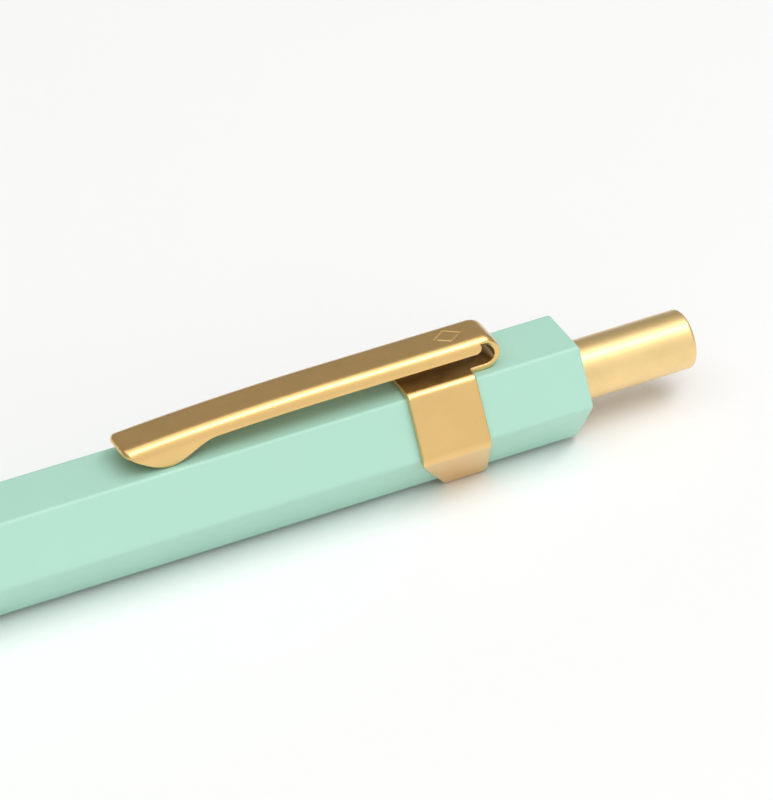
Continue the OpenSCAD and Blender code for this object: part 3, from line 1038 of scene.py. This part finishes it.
def thickened(bm, thickness, edge):
    """Points and faces of a sheet with a far side, thickness along its normals, and a rounded rim."""
    near = np.array([v.co for v in bm.verts])
    normals = np.array([v.normal for v in bm.verts])
    count = len(near)
    far = near + normals * thickness
    faces = [tuple(v.index for v in reversed(f.verts)) for f in bm.faces]
    faces += [tuple(v.index + count for v in f.verts) for f in bm.faces]
    # each rim vertex: its outward direction in the sheet, square to the rim
    tangents = {}
    rim_next = {}
    for e in bm.edges:
        if len(e.link_faces) != 1:
            continue
        loop = e.link_loops[0]
        a, b = loop.vert.index, loop.link_loop_next.vert.index
        rim_next[a] = b
        along = near[b] - near[a]
        outward = np.cross(along, loop.face.normal)
        outward /= np.linalg.norm(outward)
        for i in (a, b):
            tangents[i] = tangents.get(i, 0) + outward
    points = [near, far]
    total = 2 * count
    steps = 4
    profile = []
    for k in range(1, steps + 1):
        phi = math.pi / 2 * k / steps
        profile.append((edge * math.sin(phi), edge * (1 - math.cos(phi))))
    profile += [(out, thickness - up) for out, up in reversed(profile)]
    start = {}
    extra = []
    for i, t in tangents.items():
        t = np.array(t, float)
        t -= normals[i] * (t @ normals[i])
        t /= np.linalg.norm(t)
        start[i] = total + len(extra)
        extra += [near[i] + t * out + normals[i] * up for out, up in profile]
    points.append(np.array(extra))
    for a, b in rim_next.items():
        chain_a = [a] + [start[a] + k for k in range(len(profile))] + [a + count]
        chain_b = [b] + [start[b] + k for k in range(len(profile))] + [b + count]
        for k in range(len(chain_a) - 1):
            faces.append((chain_a[k], chain_b[k], chain_b[k + 1], chain_a[k + 1]))
    bm.free()
    return np.concatenate(points), faces


# ---- springs, by geometry nodes ----


WIRE_SIDES = 12
made_coil = {}


def coil_tree():
    """A node tree that winds round wire: its inputs are sizes in metres, turns and a material."""
    tree = bpy.data.node_groups.new("wound_wire", "GeometryNodeTree")
    made = {}
    # defaults near those of the return spring, in metres
    for name, kind, value in (
        ("Mean radius", "NodeSocketFloat", 0.0019), ("Length", "NodeSocketFloat", 0.0084),
        ("Turns", "NodeSocketFloat", 6.5), ("Wire radius", "NodeSocketFloat", 0.000175),
        ("Points a turn", "NodeSocketInt", 48), ("Material", "NodeSocketMaterial", None),
    ):
        socket = tree.interface.new_socket(name, in_out="INPUT", socket_type=kind)
        if value is not None:
            socket.default_value = value
        made[name] = socket.identifier
    tree.interface.new_socket("Geometry", in_out="OUTPUT", socket_type="NodeSocketGeometry")
    add, link = tree.nodes.new, tree.links.new
    inputs, output = add("NodeGroupInput"), add("NodeGroupOutput")
    spiral, wire = add("GeometryNodeCurveSpiral"), add("GeometryNodeCurvePrimitiveCircle")
    wire.inputs["Resolution"].default_value = WIRE_SIDES
    link(inputs.outputs["Wire radius"], wire.inputs["Radius"])
    link(inputs.outputs["Points a turn"], spiral.inputs["Resolution"])
    link(inputs.outputs["Turns"], spiral.inputs["Rotations"])
    link(inputs.outputs["Mean radius"], spiral.inputs["Start Radius"])
    link(inputs.outputs["Mean radius"], spiral.inputs["End Radius"])
    link(inputs.outputs["Length"], spiral.inputs["Height"])
    swept = add("GeometryNodeCurveToMesh")
    swept.inputs["Fill Caps"].default_value = True
    link(spiral.outputs["Curve"], swept.inputs["Curve"])
    link(wire.outputs["Curve"], swept.inputs["Profile Curve"])
    realize, paint = add("GeometryNodeRealizeInstances"), add("GeometryNodeSetMaterial")
    link(swept.outputs["Mesh"], realize.inputs["Geometry"])
    link(realize.outputs["Geometry"], paint.inputs["Geometry"])
    link(inputs.outputs["Material"], paint.inputs["Material"])
    link(paint.outputs["Geometry"], output.inputs[0])
    return tree, made


def wound(name, span, outer, wire_r, turns):
    """A coil between the two depths of span, as a plain mesh."""
    rear, front = span
    if not made_coil:
        made_coil["tree"], made_coil["ids"] = coil_tree()
    ids = made_coil["ids"]
    obj = bpy.data.objects.new(name, bpy.data.meshes.new(name))
    bpy.context.scene.collection.objects.link(obj)
    modifier = obj.modifiers.new("wire", "NODES")
    modifier.node_group = made_coil["tree"]
    modifier[ids["Mean radius"]] = (outer - wire_r) * MM
    modifier[ids["Length"]] = (front - rear - 2 * wire_r) * MM
    modifier[ids["Turns"]] = turns
    modifier[ids["Wire radius"]] = wire_r * MM
    modifier[ids["Material"]] = material("steel")
    applied(obj)
    foot = Vector(to_row([(-rear - wire_r, 0, 0)])[0])
    obj.data.transform(Matrix.Translation(foot) @ Matrix.Rotation(-math.pi / 2, 4, "Y"))
    obj.data.polygons.foreach_set("use_smooth", [True] * len(obj.data.polygons))
    obj.data.update()
    face_outwards(obj)
    return obj


# ---- operators: one for each piece or group of like pieces ----


def turned(name, outline, body, slot, node, sides=96, radius_at=None):
    """A lathe-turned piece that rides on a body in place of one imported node."""
    return ride_as(lathe(name, outline, slot, sides, radius_at), body, slot, node)


class PEN_OT_barrel(bpy.types.Operator):
    """Builds the lacquered hexagonal barrel"""

    bl_idname = "gel_pen.barrel"
    bl_label = "Barrel"

    def execute(self, context):
        points, faces = loop_of_rings(barrel_rings())
        obj = piece_from("barrel_shell", points, faces, "barrel")
        face_outwards(obj)
        weight_normals(obj)
        ride_as(obj, "barrel", "barrel", "barrel")
        return {"FINISHED"}


class PEN_OT_clip(bpy.types.Operator):
    """Builds the folded sheet clip: band, fold and sprung arm in one piece"""

    bl_idname = "gel_pen.clip"
    bl_label = "Clip"

    def execute(self, context):
        points, faces = clip_sheet()
        obj = piece_from("clip", points, faces, "gold_trim")
        face_outwards(obj)
        weight_normals(obj)
        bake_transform(obj)
        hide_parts("clip_band", "clip_arm")
        return {"FINISHED"}


class PEN_OT_button(bpy.types.Operator):
    """Builds the button's drawn cap, its core and the collar that guides it"""

    bl_idname = "gel_pen.button"
    bl_label = "Push button"

    def execute(self, context):
        wall = 0.35
        end_wall = 0.5
        dome = 0.05
        inside = BUTTON_END + end_wall
        cap = [(BUTTON_END, 0.0), (BUTTON_END + dome, BUTTON_R), (BUTTON_FRONT, BUTTON_R),
               (BUTTON_FRONT, BUTTON_R - wall), (inside, BUTTON_R - wall), (inside, 0.0)]
        rounds = [0, in_mm("button_round"), 0.08, 0.08, 0.1, 0]
        outline = rounded(cap, rounds, closed=False, steps=8)
        turned("button_cap", outline, "button", "gold_turned", "push_button")
        core_wall, hollow_len = 0.55, 5.1
        core_hollow = CORE_FRONT - hollow_len
        core = [(CORE_REAR, 0.0), (CORE_REAR, CORE_R), (CORE_FRONT, CORE_R), (CORE_FRONT, CORE_R - core_wall),
                (core_hollow, CORE_R - core_wall), (core_hollow, 0.0)]
        outline = rounded(core, [0, 0.15, 0.1, 0.1, 0.1, 0], closed=False)
        turned("button_core_moulding", outline, "button", "natural_plastic", "button_core", 72)
        guide_gap = 0.075
        bore = BUTTON_R + guide_gap
        collar = [(COLLAR_REAR, bore), (COLLAR_REAR, COLLAR_R),
                  (COLLAR_FRONT, COLLAR_R), (COLLAR_FRONT, bore)]
        outline = rounded(collar, [0.12, 0.08, 0.08, 0.08])
        turned("guide_collar", outline, "barrel", "gold_turned", "rear_collar")
        return {"FINISHED"}


def threaded(d, r, angle):
    """Radius of the neck with its rounded right-hand thread, faded out at both of its ends."""
    if abs(r - NECK_R) > 1e-6:
        return r
    plain_front, plain_rear, fade_run = 0.7, 0.2, 0.4
    into = BARREL_LEN - d
    fade_in = smooth_step((into - plain_front) / fade_run)
    fade_out = smooth_step((NECK_LEN - into - plain_rear) / fade_run)
    wave = math.cos(2 * math.pi * (into / THREAD_PITCH) - angle)
    crest = max(0.0, min(1.0, 0.5 + 1.1 * wave))
    return r - THREAD_DEPTH * fade_in * fade_out * (1 - crest)


class PEN_OT_nose(bpy.types.Operator):
    """Builds the nose cone with its thread, and the seal ring behind it"""

    bl_idname = "gel_pen.nose"
    bl_label = "Nose cone"

    def execute(self, context):
        length = NOSE_MOUTH - BARREL_LEN
        step_in = 0.1
        nose_r = FLAT_R - step_in
        steps = 40
        outer = []
        for k in range(steps + 1):
            d = length * k / steps
            r = nose_r - (nose_r - MOUTH_RIM_R) * (1 - d / length) ** NOSE_FULLNESS
            outer.append((NOSE_MOUTH - d, r))
        bore = POINT_R + MOUTH_GAP
        mouth = [(NOSE_MOUTH, bore), outer[0], outer[1]]
        rim = rounded(mouth, [0, 0.14, 0], closed=False, hold=0.02)
        shoulder = [outer[-2], (BARREL_LEN, nose_r), (BARREL_LEN, NECK_R)]
        rear = rounded(shoulder, [0, 0.1, 0], closed=False, steps=4, hold=0.03)
        thread_steps = 80
        neck = [(BARREL_LEN - NECK_LEN * k / thread_steps, NECK_R) for k in range(1, thread_steps)]
        # inside: the spring's room, a taper, the spigot's bore and the point's bore
        room, taper, land = (NOSE_MOUTH - back for back in (9.0, 4.2, 1.2))
        neck_edge, taper_r, spigot_bore = 0.06, 2.3, SPIGOT_R + 0.15
        inside = [(NECK_END, NECK_R - neck_edge), (NECK_END, NECK_BORE_R), (room, NECK_BORE_R),
                  (taper, taper_r), (taper, spigot_bore), (land, spigot_bore), (land, bore)]
        outline = rim[:-1] + outer[2:-2] + rear + neck + inside
        turned("nose_cone_shell", outline, "nose", "gold_turned", "nose_cone", 96, threaded)
        inner = NECK_R + TOUCH
        rear_face, front_face = BARREL_LEN - SEAL_W, BARREL_LEN - HAIR
        ring = [(rear_face, inner), (rear_face, SEAL_R), (front_face, SEAL_R), (front_face, inner)]
        outline = rounded(ring, [0.1, 0.13, 0.13, 0.1], hold=0.01)
        turned("seal_ring_moulding", outline, "nose_carrier", "rubber", "seal_ring")
        return {"FINISHED"}


class PEN_OT_springs(bpy.types.Operator):
    """Winds the return spring and the small spring behind the writing ball"""

    bl_idname = "gel_pen.springs"
    bl_label = "Springs"

    def execute(self, context):
        span = (SPRING_REAR, SPRING_FRONT)
        obj = wound("return_spring_coil", span, SPRING_R, RETURN_WIRE_R, sizes().spring_turns)
        ride_as(obj, "nose_carrier", "steel", "return_spring")
        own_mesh(obj)
        span = (BALL_SPRING_REAR, BALL_SPRING_FRONT)
        obj = wound("ball_spring_coil", span, BALL_SPRING_R, BALL_WIRE_R, sizes().ball_spring_turns)
        ride_as(obj, "refill", "steel", "ball_spring")
        return {"FINISHED"}


def refill_piece(name, outline, slot, node):
    return turned(name, outline, "refill", slot, node, 72)


def point_outline():
    """Turned point: a cone with a rolled-over lip round the ball, a grooved shank and a tail.

    Each corner is its distance behind the point's front end, its radius and its rounding.
    """
    cone, shank, groove, tail_r, feed_r = 2.2, 5.95, 0.1, 0.9, 0.5
    seat_r = BALL_R * 2 / 3
    pocket_r = BALL_R + 0.02
    length = POINT_FRONT - POINT_REAR
    corners = (
        (0.0, BALL_R - 0.02, 0.0), (0.0, BALL_R + 0.07, 0.03), (cone, POINT_R, 0.25), (3.4, POINT_R, 0.03),
        (3.5, POINT_R - groove, 0.03), (3.8, POINT_R - groove, 0.03), (3.9, POINT_R, 0.03),
        (shank, POINT_R, 0.06), (shank, tail_r, 0.0), (length, tail_r, 0.05), (length, feed_r, 0.0),
        (cone, feed_r, 0.0), (cone, seat_r, 0.0), (0.7, seat_r, 0.0),
        (0.42, pocket_r, 0.0), (0.2, pocket_r, 0.0),
    )
    outline = [(POINT_FRONT - corner[0], corner[1]) for corner in corners]
    return rounded(outline, [corner[2] for corner in corners], hold=0.03)


class PEN_OT_refill(bpy.types.Operator):
    """Builds the refill: tube, ink, grease, plug, holder, point and writing ball"""

    bl_idname = "gel_pen.refill"
    bl_label = "Refill"

    def execute(self, context):
        tube = [(TUBE_REAR, TUBE_BORE_R), (TUBE_REAR, TUBE_R),
                (TUBE_FRONT, TUBE_R), (TUBE_FRONT, TUBE_BORE_R)]
        refill_piece("refill_tube_wall", rounded(tube, [0.1] * 4), "clear_plastic", "refill_tube")
        dish_steps = 6
        for name, slot, node, dish in (
            ("ink_column", "ink", "gel_ink", 0.0),
            ("grease_plug", "grease", "grease_follower", 0.4),
        ):
            rear, front = depth(node, 0), depth(node, 1)
            shares = [k / dish_steps for k in range(dish_steps)]
            hollow = [(rear + dish * (1 - share**2), INK_R * share) for share in shares]
            column = hollow + [(rear, INK_R), (front, INK_R), (front, 0.0)]
            rounds = [0] * dish_steps + [0.12, 0.12, 0]
            refill_piece(name, rounded(column, rounds, closed=False), slot, node)
        vent = 0.5
        flange = PLUG_REAR + 1.2
        plug = [(PLUG_REAR, vent), (PLUG_REAR, TUBE_R), (flange, TUBE_R),
                (flange, INK_R), (PLUG_FRONT, INK_R), (PLUG_FRONT, vent)]
        outline = rounded(plug, [0.15, 0.15, 0.08, 0.0, 0.3, 0.1])
        refill_piece("vented_plug", outline, "natural_plastic", "refill_plug")
        # holder: a spigot, the spring's shoulder and a taper to the tube, bored for the point's tail
        shoulder = BALL_FRONT - SHOULDER_REACH
        full = BALL_FRONT - HOLDER_REACH
        tail_r, feed_r, tail_reach = 0.92, 0.6, 9.25
        tail_end = BALL_FRONT - tail_reach
        holder = [(HOLDER_FRONT, tail_r), (HOLDER_FRONT, SPIGOT_R), (shoulder, SPIGOT_R),
                  (shoulder, SHOULDER_R), (full, TUBE_R), (full, INK_R), (HOLDER_REAR, INK_R),
                  (HOLDER_REAR, feed_r), (tail_end, feed_r), (tail_end, tail_r)]
        rounds = [0.05, 0.2, 0.15, 0.12, 0.15, 0.0, 0.2, 0.1, 0.0, 0.05]
        refill_piece("point_holder_moulding", rounded(holder, rounds), "natural_plastic", "point_holder")
        refill_piece("turned_point", point_outline(), "point", "metal_point")
        steps = 24
        middle = BALL_FRONT - BALL_R
        arc = [math.pi * k / steps for k in range(1, steps)]
        ball = [(middle - BALL_R * math.cos(a), BALL_R * math.sin(a)) for a in arc]
        ball = [(middle - BALL_R, 0.0), *ball, (middle + BALL_R, 0.0)]
        turned("carbide_ball", ball, "ball", "ball", "writing_ball", 48)
        return {"FINISHED"}


class PEN_OT_click(bpy.types.Operator):
    """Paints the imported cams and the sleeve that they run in"""

    bl_idname = "gel_pen.click"
    bl_label = "Click mechanism"

    def execute(self, context):
        for node, slot in (
            ("cam_sleeve", "natural_plastic"),
            ("plunger_cam", "dark_plastic"),
            ("rotor_cam", "red_plastic"),
        ):
            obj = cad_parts[node]
            obj.data.materials.clear()
            obj.data.materials.append(material(slot))
        return {"FINISHED"}


# ---- stage: metres, watts and degrees ----

TABLE_REACH = 3.0
ROOM_COLOUR = (1.0, 0.96, 0.91, 1.0)
ROOM_STRENGTH = 0.34
LIGHT_COLOUR = (0.97, 0.99, 1.0)
# name, place, aim, width, length, power
LIGHTS = (
    ("overhead_softbox", (0.25, -0.38, 1.05), (0.0, 0.0, 0.0), 1.7, 0.2, 5.6),
    ("ceiling", (0.0, -0.1, 1.15), (0.0, -0.1, 0.0), 2.2, 1.1, 7.6),
    ("front_sheet", (0.1, -1.15, 0.6), (0.0, 0.0, 0.0), 3.0, 1.3, 7.0),
)
# camera: lens and sensor in millimetres, and its aim in the pen's own millimetres
LENS = 253.2
SENSOR = 36.0
CAMERA_AIM = (-13.835, 3.45, 0.0)
CAMERA_DISTANCE = 436.4 * MM
AZIMUTH, ELEVATION, ROLL = -26.17, 36.10, -0.86


def area_light(name, spot, aim, width, length, power):
    data = bpy.data.lights.new(name, "AREA")
    data.shape = "RECTANGLE"
    data.size, data.size_y = width, length
    data.energy = power
    data.color = LIGHT_COLOUR
    obj = bpy.data.objects.new(name, data)
    obj.location = spot
    obj.rotation_euler = (Vector(aim) - Vector(spot)).to_track_quat("-Z", "Y").to_euler()
    bpy.context.scene.collection.objects.link(obj)


def table():
    mesh = bpy.data.meshes.new("table")
    corners = [(x * TABLE_REACH, y * TABLE_REACH, 0) for x, y in ((-1, -1), (1, -1), (1, 1), (-1, 1))]
    mesh.from_pydata(corners, [], [(0, 1, 2, 3)])
    mesh.materials.append(material("floor"))
    obj = bpy.data.objects.new("table", mesh)
    bpy.context.scene.collection.objects.link(obj)


def room_light():
    world = bpy.data.worlds.new("studio")
    world.use_nodes = True
    background = world.node_tree.nodes["Background"]
    background.inputs["Color"].default_value = ROOM_COLOUR
    background.inputs["Strength"].default_value = ROOM_STRENGTH
    bpy.context.scene.world = world


def camera():
    """A camera on a line from its aim at an azimuth and elevation, rolled about that line."""
    data = bpy.data.cameras.new("camera")
    data.lens = LENS
    data.sensor_width = SENSOR
    data.clip_start, data.clip_end = 0.01, 10.0
    azimuth, elevation, roll = (math.radians(a) for a in (AZIMUTH, ELEVATION, ROLL))
    level = math.cos(elevation)
    back = Vector((math.sin(azimuth) * level, -math.cos(azimuth) * level, math.sin(elevation)))
    right = Vector((0, 0, 1)).cross(back).normalized()
    up = back.cross(right)
    turned_right = right * math.cos(roll) + up * math.sin(roll)
    turned_up = up * math.cos(roll) - right * math.sin(roll)
    spot = Vector(to_row([CAMERA_AIM])[0]) + back * CAMERA_DISTANCE
    rotation = Matrix((turned_right, turned_up, back)).transposed()
    obj = bpy.data.objects.new("camera", data)
    obj.matrix_world = Matrix.Translation(spot) @ rotation.to_4x4()
    bpy.context.scene.collection.objects.link(obj)
    bpy.context.scene.camera = obj


class PEN_OT_stage(bpy.types.Operator):
    """Sets the white table, the soft studio light and the camera"""

    bl_idname = "gel_pen.stage"
    bl_label = "Stage"

    def execute(self, context):
        context.scene.view_settings.view_transform = "Standard"
        table()
        room_light()
        for light in LIGHTS:
            area_light(*light)
        camera()
        return {"FINISHED"}


class PEN_PT_panel(bpy.types.Panel):
    """Lists the pen's sizes, colours and builders"""

    bl_idname = "PEN_PT_panel"
    bl_label = "Gel pen"
    bl_space_type = "VIEW_3D"
    bl_region_type = "UI"
    bl_category = "Gel pen"

    def draw(self, context):
        for group in (context.scene.pen_sizes, context.scene.pen_colours):
            for name in group.__annotations__:
                self.layout.prop(group, name)
        for operator in OPERATORS:
            self.layout.operator(operator.bl_idname)


OPERATORS = (
    PEN_OT_stage, PEN_OT_barrel, PEN_OT_clip, PEN_OT_button,
    PEN_OT_nose, PEN_OT_springs, PEN_OT_refill, PEN_OT_click,
)
CLASSES = (PenSizes, PenColours, *OPERATORS, PEN_PT_panel)


def register():
    for cls in CLASSES:
        bpy.utils.register_class(cls)
    bpy.types.Scene.pen_sizes = bpy.props.PointerProperty(type=PenSizes)
    bpy.types.Scene.pen_colours = bpy.props.PointerProperty(type=PenColours)


def unregister():
    del bpy.types.Scene.pen_colours
    del bpy.types.Scene.pen_sizes
    for cls in reversed(CLASSES):
        bpy.utils.unregister_class(cls)


def main():
    register()
    for operator in OPERATORS:
        group, name = operator.bl_idname.split(".")
        getattr(getattr(bpy.ops, group), name)()


if __name__ == "__main__":
    main()
